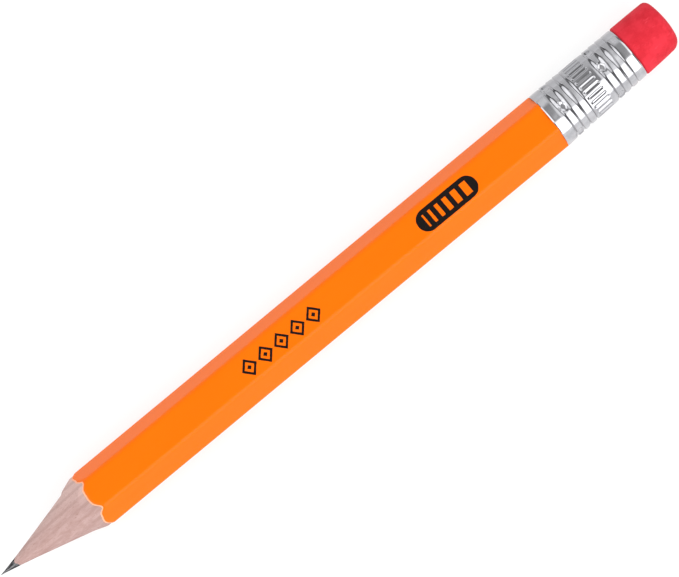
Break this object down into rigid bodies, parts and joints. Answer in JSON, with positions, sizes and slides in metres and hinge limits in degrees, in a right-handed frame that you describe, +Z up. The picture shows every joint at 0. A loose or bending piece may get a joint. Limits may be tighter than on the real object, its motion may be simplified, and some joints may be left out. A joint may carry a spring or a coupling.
{
  "type": "graphite pencil",
  "caption": "Short wood-cased graphite pencil with a rounded hexagonal orange body, a sharpened point, a crimped metal ferrule and a pink-red eraser.",
  "frame": {"origin": "middle of the pencil's length and width, at the level of its lowest line, the underside of the ferrule", "axes": "+X along the pencil from the point to the eraser, +Y across it, +Z up out of the printed flat"},
  "size_m": [0.1016, 0.0074, 0.0074],
  "materials": {
    "casing_wood": "bare sharpened pinkish softwood with fine grain",
    "wood_glue": "thin dried glue line",
    "graphite": "dark grey with a greasy metallic sheen",
    "pale_undercoat": "matt pale peach primer",
    "orange_lacquer": "glossy orange lacquer",
    "black_foil": "black hot-stamped foil",
    "ferrule_metal": "bright pressed aluminium",
    "eraser_rubber": "matt pink-red rubber"
  },
  "bodies": {
    "root": {"casing_upper_half": "casing_wood", "casing_lower_half": "casing_wood", "casing_glue_line": "wood_glue", "graphite_core": "graphite", "undercoat": "pale_undercoat", "lacquer_coat": "orange_lacquer", "grade_panel": "black_foil", "lozenge_border": "black_foil", "ferrule": "ferrule_metal", "eraser": "eraser_rubber"}
  },
  "joints": []
}
